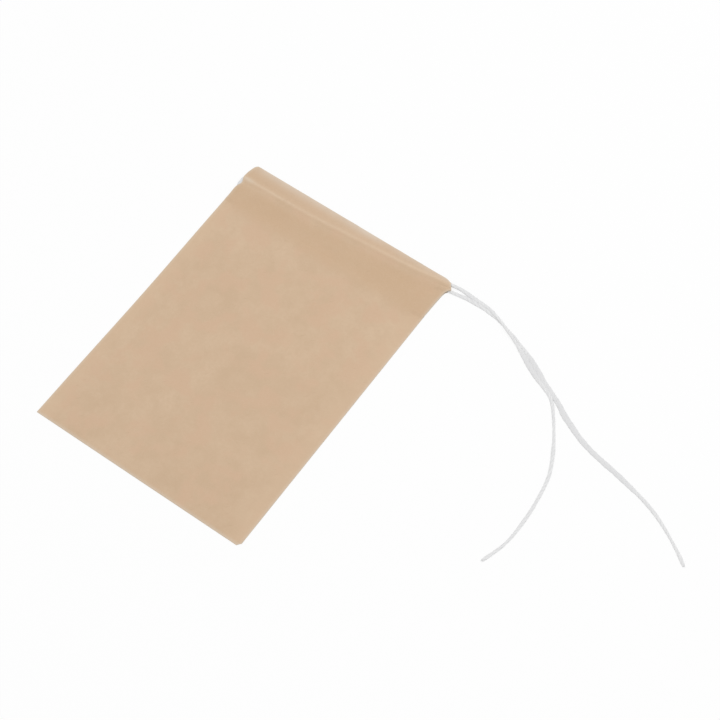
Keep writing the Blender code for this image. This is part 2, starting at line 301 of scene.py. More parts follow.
def evened(values, places):
    """Values averaged under a bell of so many places, with the end values carried on past the ends."""
    bell = np.hanning(places)
    return np.convolve(np.pad(values, places // 2, mode="edge"), bell / bell.sum(), "valid")


def placed(right, up, back, at):
    """The matrix that turns something to these three axes and moves it to a point."""
    place = np.eye(4)
    place[:3, :3] = np.stack([right, up, back], axis=1)
    place[:3, 3] = at
    return Matrix(place.tolist())


def grid_faces(rows, columns, closed_round=False):
    """Quads of a grid of points, row by row. closed_round joins the last column to the first."""
    number = np.arange(rows * columns).reshape(rows, columns)
    if closed_round:
        number = np.concatenate([number, number[:, :1]], axis=1)
    return np.stack([number[:-1, :-1], number[:-1, 1:], number[1:, 1:], number[1:, :-1]], -1).reshape(-1, 4)


def mesh_piece(name, points, faces, material, marks, uv):
    """A new object from points and quads, with one number per point for each mark and a UV map.

    Quads whose last two corners are the same number are triangles. Faces are turned so that the volume that
    they close is positive.
    """
    a, b, c, d = (points[faces[:, i]] for i in range(4))
    volume = (a * np.cross(b, c)).sum() + (a * np.cross(c, d)).sum()
    if volume < 0:
        faces = faces[:, ::-1]
    whole = [tuple(dict.fromkeys(face)) for face in faces.tolist()]
    mesh = bpy.data.meshes.new(name)
    mesh.from_pydata(points.tolist(), [], whole)
    for mark, values in marks.items():
        mesh.attributes.new(mark, "FLOAT", "POINT").data.foreach_set("value", values.astype(np.float32))
    corners = np.empty(len(mesh.loops), np.int32)
    mesh.loops.foreach_get("vertex_index", corners)
    mesh.uv_layers.new(name="along").data.foreach_set("uv", uv[corners].astype(np.float32).ravel())
    mesh.shade_smooth()
    piece = bpy.data.objects.new(name, mesh)
    piece.data.materials.append(material)
    bpy.context.scene.collection.objects.link(piece)
    return piece


class Yarn:
    """The string's whole line and its section: where its middle runs, how wide and how thick it lies."""

    def __init__(self, string, plies):
        self.string = string
        self.plies = plies
        front, loop, back = self.in_hem()
        short, long = self.loose(SHORT_END)[::-1], self.loose(LONG_END)
        parts = [short, front, loop, back, long]
        counts = np.cumsum([len(part) for part in parts])
        steps = 24
        dense = hermite(np.concatenate(parts), steps)
        at = lengths_along(dense)
        brim = 0.00002
        inner = np.linspace(brim, at[-1] - brim, int(at[-1] / string.ring_step) + 1)
        self.at = np.concatenate([[0.0], inner, [at[-1]]])
        self.line = np.stack([np.interp(self.at, at, dense[:, i]) for i in range(3)], axis=1)
        self.short_start = at[(counts[0] - 1) * steps]
        self.long_start = at[counts[3] * steps]
        self.widths()

    def in_hem(self):
        """Points of the line through the front hem, round the far side and back through the back hem."""
        radius = self.string.diameter / 2
        half = self.plies.paper / 2
        x = np.array(HEM_STOPS)
        floor = self.plies.front_hem(x, front_line(x)) + half + self.plies.ease / 2
        front = np.stack([x, front_line(x), floor + radius], axis=1)
        floor = self.plies.back_panel(x, back_line(x)) + half + self.plies.ease / 2
        back = np.stack([x, back_line(x), floor + radius], axis=1)[::-1]
        turn = np.radians([30.0, 60.0, 90.0, 120.0, 150.0])
        middle, half_way = (front[-1] + back[0]) / 2, (front[-1] - back[0]) / 2
        reach = -SIDE + LOOP_INSET - front[-1, 0]
        loop = middle + half_way * np.cos(turn)[:, None]
        loop[:, 0] += reach * np.sin(turn) ** 0.7
        return front, loop, back

    def loose(self, places):
        """Points of a loose end. The soft strings lie closer over each other than round ones would."""
        radius = self.string.diameter / 2
        kept = np.array([1.0, 1.0, LIFT_KEPT]) * PLACE_UNIT
        return places * kept + np.array([SIDE, MOUTH, radius + TABLE_GAP])

    def draw_together(self):
        """Close the slit between the two strands where they lie side by side, up to where they part.

        Each moves half of the way that its nearest neighbour is further off than a share of their widths.
        """
        near, far = BESIDE_FROM, BESIDE_TO
        short = np.flatnonzero((self.at > self.short_start - far) & (self.at < self.short_start - near))
        long = np.flatnonzero((self.at > self.long_start + near) & (self.at < self.long_start + far))
        bell = np.hanning(15)
        bell /= bell.sum()
        moves = []
        for mine, other, start in ((short, long, self.short_start), (long, short, self.long_start)):
            between = self.line[other, None, :2] - self.line[None, mine, :2]
            distance = np.linalg.norm(between, axis=2)
            closest = distance.argmin(axis=0)
            column = np.arange(len(mine))
            gap = distance[closest, column]
            wanted = NEARNESS * (self.width[mine] + self.width[other[closest]])
            out = np.abs(self.at[mine] - start)
            share = smooth(near, 0.0065, out) * (1.0 - smooth(0.0440, far, out)) * smooth(0.0004, 0.0009, gap)
            size = np.clip(gap - wanted, 0.0, None) / 2 * share
            move = between[closest, column] / np.maximum(gap, 1e-6)[:, None] * size[:, None]
            softened = [np.convolve(move[:, i], bell, "same") for i in range(2)]
            moves.append((mine, np.stack(softened, axis=1)))
        for mine, move in moves:
            self.line[mine, :2] += move

    def widths(self):
        """Width and thickness at each ring. Soft yarn keeps its section: where it is wider it is thinner."""
        short = np.array(SHORT_WIDTHS) / 1000
        long = np.array(LONG_WIDTHS) / 1000
        hem_at = np.linspace(self.short_start, self.long_start, 41)[1:-1]
        x = np.interp(hem_at, self.at, self.line[:, 0])
        hem_width = HEM_STRING_WIDTH - 0.00020 * smooth(0.026, 0.0345, x)
        hem_width += 0.00008 * smooth(0.030, 0.0345, -x)
        places = np.concatenate([self.short_start - short[::-1, 0], hem_at, self.long_start + long[:, 0]])
        values = np.concatenate([short[::-1, 1], hem_width, long[:, 1]])
        self.width = evened(np.interp(self.at, places, values), 13) * (1.0 + ripples(WIDTH_WAVES, self.at))
        self.height = np.clip(SECTION / self.width, THINNEST, THICKEST)
        inside = (self.at > self.short_start) & (self.at < self.long_start)
        limit = string_height_in_hem(self.line[:, 0]) * 0.93
        self.height = evened(np.where(inside, np.minimum(self.height, limit), self.height), 13)
        from_end = np.minimum(self.at, self.at[-1] - self.at)
        whole = np.sqrt(smooth(-0.0001, 0.0016, from_end))
        self.width, self.height = self.width * (0.80 + 0.20 * whole), self.height * (0.30 + 0.70 * whole)
        self.line[:, 2] += (self.height - self.string.diameter) / 2
        self.draw_together()

    def frames(self):
        """At each ring: the way the line runs, the level direction across it and the one over it."""
        way = np.gradient(self.line, self.at, axis=0)
        way /= np.linalg.norm(way, axis=1)[:, None]
        level = np.cross([0.0, 0.0, 1.0], way)
        level /= np.linalg.norm(level, axis=1)[:, None]
        return way, level, np.cross(way, level)

    def surface(self, first, last):
        """Rings first to last as a closed tube: a loaf whose radius swells in three lobes that turn along it.

        The upper half of a ring is an ellipse. The lower half is squarer, the roots of its cosine and sine,
        as soft yarn sits on what it lies on. Both are times 1 + depth * (cos(3 * (angle - turn)) - 1) / 2.
        """
        level, over = self.frames()[1:]
        sides = self.string.sides
        angle = TURN * np.arange(sides) / sides
        along = self.at[first:last, None]
        turn = TURN * along / self.string.twist_pitch + ripples(TWIST_WAVES, along)
        lobes = (np.cos(3.0 * (angle - turn)) - 1.0) / 2.0
        swell = 1.0 + self.string.lobe_depth * lobes
        cosine, sine = np.cos(angle), np.sin(angle)
        lower = sine < -1e-9
        across = np.where(lower, np.sign(cosine) * np.abs(cosine) ** 0.5, cosine)
        upright = np.where(lower, -(np.abs(sine) ** 0.5), sine)
        out = across * self.width[first:last, None] / 2 * swell
        rise = upright * self.height[first:last, None] / 2 * (1.0 + (swell - 1.0) * (upright > 0.0))
        line, across, up = (part[first:last, None, :] for part in (self.line, level, over))
        points = line + across * out[..., None] + up * rise[..., None]
        along, around = (np.broadcast_to(part, out.shape) for part in (along, angle / TURN))
        return points, -lobes, along, around


def spread_evenly(count):
    """For each even ratio, count numbers that fill 0 to 1: each is the one before plus it, less any whole."""
    return [(0.5 + ratio * np.arange(count)) % 1.0 for ratio in EVEN_RATIOS]


def hairs(base, way, out, reach, curl):
    """Hairs that leave their base along way and out, bend with the square of their length and thin.

    A point at share t of a hair is base + reach * (way * t + out * t * t + side * curl * sin(2 t)).
    """
    t = np.linspace(0.0, 1.0, HAIR_ROWS)[None, :, None]
    side = np.cross(way, out)
    bent = way[:, None] * t + out[:, None] * t**2 + side[:, None] * curl[:, None, None] * np.sin(2.0 * t)
    middle = base[:, None] + reach[:, None, None] * bent
    middle[..., 2] = np.maximum(middle[..., 2], 2 * TABLE_GAP)
    run = np.gradient(middle, axis=1)
    run /= np.linalg.norm(run, axis=2)[..., None]
    first = np.cross(run, out[:, None])
    first /= np.maximum(np.linalg.norm(first, axis=2), 1e-9)[..., None]
    second = np.cross(run, first)
    angle = TURN * np.arange(HAIR_SIDES) / HAIR_SIDES
    radius = (HAIR_RADIUS * (1.0 - 0.6 * t))[..., None]
    ring = first[:, :, None] * np.cos(angle)[:, None] + second[:, :, None] * np.sin(angle)[:, None]
    points = middle[:, :, None] + radius * ring
    rows = grid_faces(HAIR_ROWS, HAIR_SIDES, closed_round=True)
    top = (HAIR_ROWS - 1) * HAIR_SIDES
    ends = np.array([[0, 2, 1, 1], [top, top + 1, top + 2, top + 2]])
    number = HAIR_ROWS * HAIR_SIDES * np.arange(len(base))
    faces = np.concatenate([rows, ends])[None] + number[:, None, None]
    return points.reshape(-1, 3), faces.reshape(-1, 4)


def hair_roots(yarn, ring, angle, share):
    """Points this share of the yarn's width and height from its middle, at rings and angles, and the way
    along the yarn and the direction outwards there."""
    way, level, over = (part[ring] for part in yarn.frames())
    across, up = level * np.cos(angle)[:, None], over * np.sin(angle)[:, None]
    share = np.reshape(share, (-1, 1))
    base = yarn.line[ring] + (across * yarn.width[ring, None] + up * yarn.height[ring, None]) * share
    return base, way, across + up


def stray_fibres(yarn, first, last, count):
    """Fine fibres that stand off the soft yarn all along it, leaning one way or the other."""
    place, turn, length, curl = spread_evenly(count)
    ring = first + (place * (last - 1 - first)).astype(int)
    base, way, out = hair_roots(yarn, ring, TURN * turn, 0.44)
    lean = np.where(np.arange(count) % 2, 1.0, -1.0)[:, None]
    return hairs(base, way * lean, out * 0.62, 0.00030 + 0.00050 * length**2, curl - 0.5)


def frayed_end(yarn, ring, outwards):
    """The fibres of a cut end, which spread a little past it."""
    turn, place, length, curl = spread_evenly(FRAYED_FIBRES)
    away = np.sqrt(place)
    base, way, out = hair_roots(yarn, np.full(FRAYED_FIBRES, ring), TURN * turn, 0.42 * away)
    spread = (0.25 + 0.4 * away)[:, None]
    return hairs(base, way * outwards, out * spread, 0.00020 + 0.00040 * length, 0.5 * curl - 0.25)


def tube_piece(name, yarn, first, last, material, fibres):
    """One stretch of the string as a closed piece, with a cap of triangles at each end and its fibres."""
    points, groove, along, around = yarn.surface(first, last)
    rings, sides = points.shape[:2]
    flat = points.reshape(-1, 3)
    faces = grid_faces(rings, sides, closed_round=True)
    ends = np.stack([yarn.line[first], yarn.line[last - 1]])
    spin = np.arange(sides)
    near, far = spin, spin + (rings - 1) * sides
    start, end = np.full(sides, len(flat)), np.full(sides, len(flat) + 1)
    caps = [
        np.stack([near, start, start, np.roll(near, -1)], -1),
        np.stack([np.roll(far, -1), end, end, far], -1),
    ]
    points = [flat, ends]
    faces = [faces, *caps]
    count = len(flat) + 2
    for hair_points, hair_faces in fibres:
        points.append(hair_points)
        faces.append(hair_faces + count)
        count += len(hair_points)
    spread = np.repeat(smooth(0.0010, 0.0016, yarn.width[first:last]), sides)

    def filled(values, rest=0.0):
        return np.concatenate([values.ravel(), np.full(count - len(flat), rest)])

    # Painted shade mark: 1 in the grooves between the strands, 0 on their crests
    marks = {"groove": filled(groove), "spread": filled(spread)}
    uv = np.stack([filled(along), filled(around, 0.5)], -1)
    return mesh_piece(name, np.concatenate(points), np.concatenate(faces), material, marks, uv)


def closed_shell(mid, thickness):
    """Both sides of a sheet around its middle grid: the middle plus and minus half the thickness along the
    cross product of its two slopes, joined along its four rims."""
    rows, columns = mid.shape[:2]
    normal = np.cross(np.gradient(mid, axis=0), np.gradient(mid, axis=1))
    normal /= np.linalg.norm(normal, axis=-1)[..., None]
    upper, lower = mid + normal * thickness / 2, mid - normal * thickness / 2
    points = np.concatenate([upper.reshape(-1, 3), lower.reshape(-1, 3)])
    faces = grid_faces(rows, columns)
    number = np.arange(rows * columns).reshape(rows, columns)
    rim = np.concatenate([number[0], number[1:, -1], number[-1, -2::-1], number[-2:0:-1, 0]])
    after = np.roll(rim, -1)
    below = rows * columns
    rims = np.stack([after, rim, rim + below, after + below], -1)
    return points, np.concatenate([faces, faces[:, ::-1] + below, rims])


class Wire:
    """One output socket of a material's nodes. Operators on it add the Math nodes that work them out."""

    def __init__(self, tree, socket):
        self.tree = tree
        self.socket = socket

    def node(self, kind, settings=None, values=None, output=0):
        """A new node of this kind: its settings first, then the values or wires of its sockets."""
        made = self.tree.nodes.new(f"ShaderNode{kind}")
        for name, value in (settings or {}).items():
            setattr(made, name, value)
        for name, value in (values or {}).items():
            if isinstance(value, Wire):
                self.tree.links.new(value.socket, made.inputs[name])
            else:
                made.inputs[name].default_value = value
        return Wire(self.tree, made.outputs[output])

    def output(self, name):
        """Another output of the node that this one comes from."""
        return Wire(self.tree, self.socket.node.outputs[name])

    def marks(self, *names):
        """A wire for each of these marks of the mesh."""
        return [self.node("Attribute", {"attribute_name": name}, output=2) for name in names]

    def math(self, operation, *values):
        return self.node("Math", {"operation": operation}, dict(enumerate(values)))

    def __add__(self, other):
        return self.math("ADD", self, other)

    def __radd__(self, other):
        return self.math("ADD", other, self)

    def __sub__(self, other):
        return self.math("SUBTRACT", self, other)

    def __rsub__(self, other):
        return self.math("SUBTRACT", other, self)

    def __mul__(self, other):
        return self.math("MULTIPLY", self, other)

    def __rmul__(self, other):
        return self.math("MULTIPLY", other, self)

    def absolute(self):
        return self.math("ABSOLUTE", self)

    def clamped(self):
        return self.node("Clamp", None, {0: self, 1: 0.0, 2: 1.0})

    def ranged(self, low, high, to_low=0.0, to_high=1.0):
        """This value with low to high spread smoothly over to_low to to_high."""
        settings = {"interpolation_type": "SMOOTHSTEP", "clamp": True}
        values = {"Value": self, "From Min": low, "From Max": high, "To Min": to_low, "To Max": to_high}
        return self.node("MapRange", settings, values)

    def mix(self, first, second):
        """The colour first where this is 0 and second where it is 1, both wires or three numbers."""
        first, second = (part if isinstance(part, Wire) else (*part, 1.0) for part in (first, second))
        return self.node("Mix", {"data_type": "RGBA"}, {0: self, 6: first, 7: second}, output=2)

    def mapped(self, scale=(1.0, 1.0, 1.0), turn=(0.0, 0.0, 0.0), place=(0.0, 0.0, 0.0)):
        """These coordinates moved, turned and scaled."""
        return self.node("Mapping", None, {0: self, 1: place, 2: turn, 3: scale})

    def stretched(self, turn, along, across):
        """These coordinates turned in their plane, then scaled along and across."""
        return self.mapped(turn=(0.0, 0.0, turn)).mapped((along, across, 1.0))

    def noise(self, scale, detail=2.0, roughness=0.5, distortion=0.0):
        values = {"Scale": scale, "Detail": detail, "Roughness": roughness, "Distortion": distortion}
        return self.node("TexNoise", None, {"Vector": self, **values})


def new_material(name):
    """An empty material with a Principled shader, and a wire to start its nodes from."""
    material = bpy.data.materials.new(name)
    material.use_nodes = True
    tree = material.node_tree
    shader = tree.nodes["Principled BSDF"]
    return material, shader, Wire(tree, None)


def finish_principled(shader, colour, roughness, bump, sheen):
    """Join these wires to the shader, with its fixed values set on it."""
    for name, wire in (("Base Color", colour), ("Roughness", roughness), ("Normal", bump)):
        wire.tree.links.new(wire.socket, shader.inputs[name])
    shader.inputs["Specular IOR Level"].default_value = 0.25
    shader.inputs["Sheen Weight"].default_value = sheen
    shader.inputs["Sheen Roughness"].default_value = 0.6


def fibre_streaks(web, turn, along, across, thin):
    """Thin winding lines of one direction: where a stretched noise passes its middle value."""
    lines = web.stretched(turn, along, across).noise(1.0, 1.0, 0.4, 0.35)
    return (lines - 0.5).absolute().ranged(0.0, thin, 1.0, 0.0)


def paper_material(paper):
    """Unbleached filter paper: clouded fibres, lighter where white string or a pressed seam lies under it,
    deeper where the hem doubles it and with painted shade just below that, painted light and shade on its
    slopes, and painted highlights along the mouth's strip, its folds and its cut edges."""
    material, shader, start = new_material("filter_paper")
    web = start.node("UVMap", {"uv_map": "along"})
    place = start.node("TexCoord", output=3)
    strip, doubled, string_under, seam, tone, worn = start.marks(
        "strip", "doubled", "string_under", "seam", "tone", "worn"
    )
    cloud = web.noise(900.0, 3.0, 0.55)
    broad = place.noise(55.0, 2.0, 0.5)
    grain = web.noise(5200.0, 2.0, 0.6)
    streaks = None
    for turn, along, across, thin in (
        (0.35, 330.0, 3300.0, 0.030), (1.45, 300.0, 2900.0, 0.026), (2.30, 360.0, 3600.0, 0.030),
        (2.95, 280.0, 2500.0, 0.022),
    ):
        found = fibre_streaks(web, turn, along, across, thin)
        streaks = found if streaks is None else streaks.math("MAXIMUM", streaks, found)
    shive = web.stretched(0.8, 420.0, 4200.0).noise(1.0, 0.0).ranged(0.79, 0.86)
    patch = place.noise(160.0, 2.0, 0.6)
    # Painted light and shade: lighter below the hem near the sides and darker towards the bottom, with the
    # random clouds and patches
    clouded_and_shaded = (0.30 * broad.ranged(0.30, 0.70) + 0.40 * patch.ranged(0.35, 0.65) + 0.60 * (1.0 - tone)).clamped()
    colour = clouded_and_shaded.mix(paper.colour, paper.cloud_and_shade_colour)
    colour = (cloud.ranged(0.35, 0.65) * 0.34).mix(colour, paper.cloud_and_shade_colour)
    ruddy = place.mapped(place=(0.3, 0.7, 0.0)).noise(120.0, 2.0, 0.6)
    colour = (ruddy.ranged(0.46, 0.64) * 0.80).mix(colour, paper.ruddy_colour)
    # Deeper where the hem doubles the paper, with painted shade below its edge and painted light on the flank
    # under the front string
    colour = (doubled * (0.72 + 0.28 * broad.ranged(0.35, 0.65))).mix(colour, paper.hem_colour)
    colour = (seam * 0.55).mix(colour, paper.seam_colour)
    # Painted highlight: a paler strip along the mouth
    colour = (strip * (0.50 + 0.50 * broad.ranged(0.40, 0.60))).mix(colour, paper.strip_highlight_colour)
    colour = (string_under * (0.55 + 0.25 * cloud.ranged(0.3, 0.7))).mix(colour, paper.ridge_colour)
    colour = (streaks * 0.16).mix(colour, paper.fibre_colour)
    colour = (shive * 0.22).mix(colour, paper.shive_colour)
    # Painted highlight along the folds, the cut sides and the left end of the front string's ridge
    colour = (worn * (0.35 + 0.3 * grain.ranged(0.35, 0.65))).clamped().mix(colour, paper.edge_highlight_colour)
    crimp = place.node("TexWave", {"bands_direction": "Y"}, {0: place, 1: 1150.0, 2: 0.6})
    height = 0.6 * cloud + 0.5 * grain + 0.45 * streaks + 0.35 * crimp * seam
    bump = start.node("Bump", None, {"Strength": 0.55, "Distance": 0.00004, "Height": height})
    finish_principled(shader, colour, grain.ranged(0.3, 0.7, 0.80, 0.92), bump, sheen=0.05)
    return material


def string_material(string):
    """Soft white yarn: fine fibres that wind round it, with painted shade greying the grooves between its
    strands, and greyer where it lies spread out flat."""
    material, shader, start = new_material("cotton_string")
    uv = start.node("UVMap", {"uv_map": "along"})
    groove, spread = start.marks("groove", "spread")
    along = start.node("SeparateXYZ", None, {0: uv})
    wound = along.output(1) - along * (1.0 / string.twist_pitch)
    lie = start.node("CombineXYZ", None, {0: along * 420.0, 1: wound * 26.0, 2: 0.0})
    fibres = lie.noise(1.0, 2.0, 0.6, 0.4)
    place = start.node("TexCoord", output=3)
    uneven = place.noise(420.0, 2.0, 0.55)
    # Painted shade: greyer in the grooves between the strands
    colour = (groove.ranged(0.25, 1.0) * 0.75).mix(string.colour, string.groove_shade_and_grey_colour)
    colour = (fibres.ranged(0.46, 0.66) * 0.42).mix(colour, string.shade_colour)
    colour = (uneven.ranged(0.35, 0.75) * 0.35).mix(colour, string.groove_shade_and_grey_colour)
    colour = (spread * 0.85).mix(colour, string.groove_shade_and_grey_colour)
    height = fibres + 0.3 * uneven
    bump = start.node("Bump", None, {"Strength": 0.6, "Distance": 0.00008, "Height": height})
    finish_principled(shader, colour, fibres.ranged(0.3, 0.7, 0.82, 0.95), bump, sheen=0.15)
    return material


def table_material(stage):
    """The white table: for the camera mostly plain white, and for all other light a matt pale board."""
    material, shader, start = new_material("white_table")
    place = start.node("TexCoord", output=3)
    mottle = place.noise(9.0, 2.0, 0.5).ranged(0.2, 0.8)
    colour = mottle.mix(stage.table_colour, [0.985 * value for value in stage.table_colour])
    start.tree.links.new(colour.socket, shader.inputs["Base Color"])
    shader.inputs["Roughness"].default_value = 0.9
    shader.inputs["Specular IOR Level"].default_value = 0.0
    seen = seen_directly(start)
    white = start.node("Emission", None, {"Color": (1.0, 1.0, 1.0, 1.0), "Strength": 1.0})
    lit = Wire(start.tree, shader.outputs[0])
    mixed = start.node("MixShader", None, {0: seen * stage.table_glow, 1: lit, 2: white})
    output = next(node for node in start.tree.nodes if node.type == "OUTPUT_MATERIAL")
    start.tree.links.new(mixed.socket, output.inputs["Surface"])
    return material


def seen_directly(start):
    """1 for what the camera sees itself, in a gloss or through glass, and 0 for all other light."""
    path = start.node("LightPath")
    camera, glossy, through = (path.output(f"Is {kind} Ray") for kind in ("Camera", "Glossy", "Transmission"))
    return (camera + glossy + through).clamped()


def colour_property(name, where, default):
    return bpy.props.FloatVectorProperty(
        name=name, description=f"Colour {where}", default=default, subtype="COLOR", min=0.0, max=1.0
    )


def number_property(name, description, default, **settings):
    return bpy.props.FloatProperty(name=name, description=description, default=default, **settings)


def length_property(name, description, default):
    return number_property(name, description, default, unit="LENGTH", subtype="DISTANCE", precision=5)


class TeaBagPaper(bpy.types.PropertyGroup):
    """Sizes and colours of the filter paper."""

    thickness: length_property("Thickness", "Thickness of the filter paper", 0.00013)
    ply_gap: length_property("Ply gap", "Air between two plies that lie on each other", 0.00003)
    pillow: length_property("Pillow", "How far the empty pocket stands up in its middle", 0.00085)
    mouth_air: length_property("Mouth air", "Air between the two hems in the middle of the mouth", 0.00040)
    colour: colour_property("Paper", "of one ply over the white back", (0.677, 0.503, 0.348))
    # Also the colour of the painted shade towards the bag's bottom
    cloud_and_shade_colour: colour_property("Clouds", "of the denser clouds in the paper", (0.602, 0.432, 0.287))
    ruddy_colour: colour_property("Ruddy patches", "of the redder patches", (0.640, 0.444, 0.300))
    hem_colour: colour_property("Hem", "where the hem doubles the paper", (0.600, 0.418, 0.268))
    seam_colour: colour_property("Seams", "of the pressed side seams", (0.668, 0.486, 0.330))
    # The colour of the painted highlight along the mouth
    strip_highlight_colour: colour_property("Mouth strip", "of the strip along the mouth", (0.71, 0.595, 0.485))
    ridge_colour: colour_property("Over string", "where the string lies under it", (0.70, 0.535, 0.385))
    fibre_colour: colour_property("Fibres", "of the pale surface fibres", (0.72, 0.56, 0.41))
    shive_colour: colour_property("Shives", "of the few dark fibres", (0.36, 0.23, 0.13))
    # The colour of the painted highlight along folds and cut edges
    edge_highlight_colour: colour_property("Worn folds", "of folds and cut edges", (0.70, 0.60, 0.48))


class TeaBagString(bpy.types.PropertyGroup):
    """Sizes and colours of the drawstring."""

    diameter: length_property("Diameter", "Diameter of the soft string", 0.0009)
    twist_pitch: length_property("Twist", "Length of one full turn of its strands", 0.0052)
    lobe_depth: number_property("Strand depth", "Depth between its strands", 0.08, subtype="FACTOR")
    ring_step: length_property("Ring step", "Distance between two rings of its surface", 0.00034)
    sides: bpy.props.IntProperty(name="Sides", description="Points round each ring", default=20, min=8)
    colour: colour_property("String", "of the cotton", (0.835, 0.835, 0.835))
    # Grey of the painted shade in the grooves, also used for greyer patches and spread-out stretches
    groove_shade_and_grey_colour: colour_property("Grooves", "between its strands", (0.745, 0.745, 0.75))
    shade_colour: colour_property("Fibre shade", "between single fibres", (0.70, 0.70, 0.705))


class TeaBagStage(bpy.types.PropertyGroup):
    """The table, the light and the camera."""

    table_colour: colour_property("Table", "of the table", (0.93, 0.93, 0.93))
    table_glow: number_property("Table white", "Share of plain white that is seen", 0.88, subtype="FACTOR")
    sky: number_property("Room light", "Strength of the even white light", 0.78)
    key_power: number_property("Key light", "Power of the soft light", 1.95, unit="POWER")
    lens: number_property("Lens", "Focal length on a 36 mm sensor", 101.43, unit="CAMERA")
    distance: length_property("Distance", "From the camera to the point it looks at", 0.5651)
    azimuth: number_property("Azimuth", "Turn round the bag", np.radians(37.68), subtype="ANGLE")
    elevation: number_property("Elevation", "Height over the table", np.radians(61.32), subtype="ANGLE")
    roll: number_property("Roll", "Tilt of the picture", np.radians(-2.31), subtype="ANGLE")
    looks_at: bpy.props.FloatVectorProperty(
        name="Looks at", description="Point in the middle of the picture", default=(0.02853, 0.01442, 0.0),
        subtype="TRANSLATION",
    )


class TEABAG_OT_camera(bpy.types.Operator):
    """Place the camera as the bag is seen from above its string side"""

    bl_idname = "teabag.camera"
    bl_label = "Camera"

    def execute(self, context):
        stage = context.scene.tea_bag_stage
        turn, rise, roll = stage.azimuth, stage.elevation, stage.roll
        back = np.array([np.sin(turn) * np.cos(rise), -np.cos(turn) * np.cos(rise), np.sin(rise)])
        level = np.array([np.cos(turn), np.sin(turn), 0.0])
        upright = np.cross(back, level)
        right = level * np.cos(roll) + upright * np.sin(roll)
        up = upright * np.cos(roll) - level * np.sin(roll)
        data = bpy.data.cameras.new("camera")
        data.lens = stage.lens
        data.sensor_width = 36.0
        data.clip_start = 0.01
        data.clip_end = 20.0
        camera = bpy.data.objects.new("camera", data)
        camera.matrix_world = placed(right, up, back, np.array(stage.looks_at) + back * stage.distance)
        context.scene.collection.objects.link(camera)
        context.scene.camera = camera
        return {"FINISHED"}


class TEABAG_OT_string(bpy.types.Operator):
    """Make the drawstring: its two loose ends and the stretch through both hems"""

    bl_idname = "teabag.string"
    bl_label = "Drawstring"

    def execute(self, context):
        string = context.scene.tea_bag_string
        yarn = Yarn(string, Plies(context.scene.tea_bag_paper))
        material = string_material(string)
        splits = yarn.short_start + STILL_IN_HEM, yarn.long_start - STILL_IN_HEM
        near, far = np.searchsorted(yarn.at, splits)
        end = len(yarn.at) - 1
        stretches = {
            "short_end": (0, near, [frayed_end(yarn, 0, -1.0)]),
            "string_in_hem": (near, far, []),
            "long_end": (far, end, [frayed_end(yarn, end, 1.0)]),
        }
        for name, (first, last, fibres) in stretches.items():
            if fibres:
                fibres.insert(0, stray_fibres(yarn, first, last, STRAY_FIBRES[name]))
            piece = tube_piece(name, yarn, first, last + 1, material, fibres)
            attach(piece, BODY)
            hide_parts("drawstring")
            if name == "string_in_hem":
                continue
            path = yarn.line[first:last + 1]
            exit_at = yarn.short_start if name == "short_end" else yarn.long_start
        return {"FINISHED"}


class TEABAG_OT_paper(bpy.types.Operator):
    """Make the bag: one web of paper from the front hem down, round the bottom and up to the back hem"""

    bl_idname = "teabag.paper"
    bl_label = "Paper bag"

    def execute(self, context):
        paper = context.scene.tea_bag_paper
        plies = Plies(paper)
        x = np.concatenate([
            [-SIDE],
            np.linspace(-SIDE + RIM, -POCKET_SIDE, SIDE_COLUMNS)[:-1],
            np.linspace(-POCKET_SIDE, EXIT_SIDE, MIDDLE_COLUMNS)[:-1],
            np.linspace(EXIT_SIDE, SIDE - RIM, EXIT_COLUMNS),
            [SIDE],
        ])[None, :]
        y, z = web_section(plies, x)
        x = np.broadcast_to(x, y.shape)
        rise = creases(x, y) * smooth(0.0, 0.00035, z)
        mid = np.stack([drawn_outline(x, y), y, z + rise], axis=-1)
        points, faces = closed_shell(mid, plies.paper)
        profile = np.stack([y[:, MEASURED_COLUMN], z[:, MEASURED_COLUMN]], 1)
        along = np.broadcast_to(lengths_along(profile)[:, None], y.shape)
        uv = np.stack([x.ravel(), along.ravel()], -1)
        marks = {name: np.tile(mark.ravel(), 2) for name, mark in paper_marks(x, y).items()}
        piece = mesh_piece("paper_bag_web", points, faces, paper_material(paper), marks, np.tile(uv, (2, 1)))
        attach(piece, BODY)
        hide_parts("paper_bag")
        return {"FINISHED"}


def web_section(plies, x):
    """The web's middle line at each x, as y and z, from the front hem's inner edge to the back hem's.

    Straight stretches follow the plies' heights, and each fold between two of them is a half circle whose
    diameter is the distance between them there.
    """
    front_mouth = mouth_edge(x) - FRONT_SET_BACK + ripples(FOLD_WAVES, x)
    half_turn = np.linspace(-np.pi / 2, np.pi / 2, FOLD_ROWS)[1:-1, None]

    def fold(place, towards, below, above):
        radius = (above(x, place) - below(x, place)) / 2
        centre = place - towards * radius
        radius = (above(x, centre) - below(x, centre)) / 2
        middle = (above(x, centre) + below(x, centre)) / 2
        y = centre + towards * radius * np.cos(half_turn)
        return centre, (y, middle + radius * np.sin(half_turn))

    front, front_fold = fold(front_mouth, 1.0, plies.front_hem, plies.front_panel)
    bottom, bottom_fold = fold(np.full_like(x, BOTTOM), -1.0, plies.back_panel, plies.front_panel)
    back, back_fold = fold(mouth_edge(x), 1.0, plies.back_panel, plies.back_hem)
    edge = np.full_like(x, HEM_EDGE)
    foot = edge - SEAL_FOOT

    def run(ply, start, end, rows, first=0):
        y = start + (end - start) * np.linspace(0.0, 1.0, rows)[first:, None]
        return y, ply(x, y)

    stretches = (
        run(plies.front_hem, edge, front, HEM_ROWS), front_fold,
        run(plies.front_panel, front, foot, RIDGE_ROWS),
        run(plies.front_panel, foot, bottom, PANEL_ROWS, first=1), [part[::-1] for part in bottom_fold],
        run(plies.back_panel, bottom, back, BACK_ROWS), back_fold,
        run(plies.back_hem, back, edge, HEM_ROWS),
    )
    return tuple(np.concatenate(part) for part in zip(*stretches))


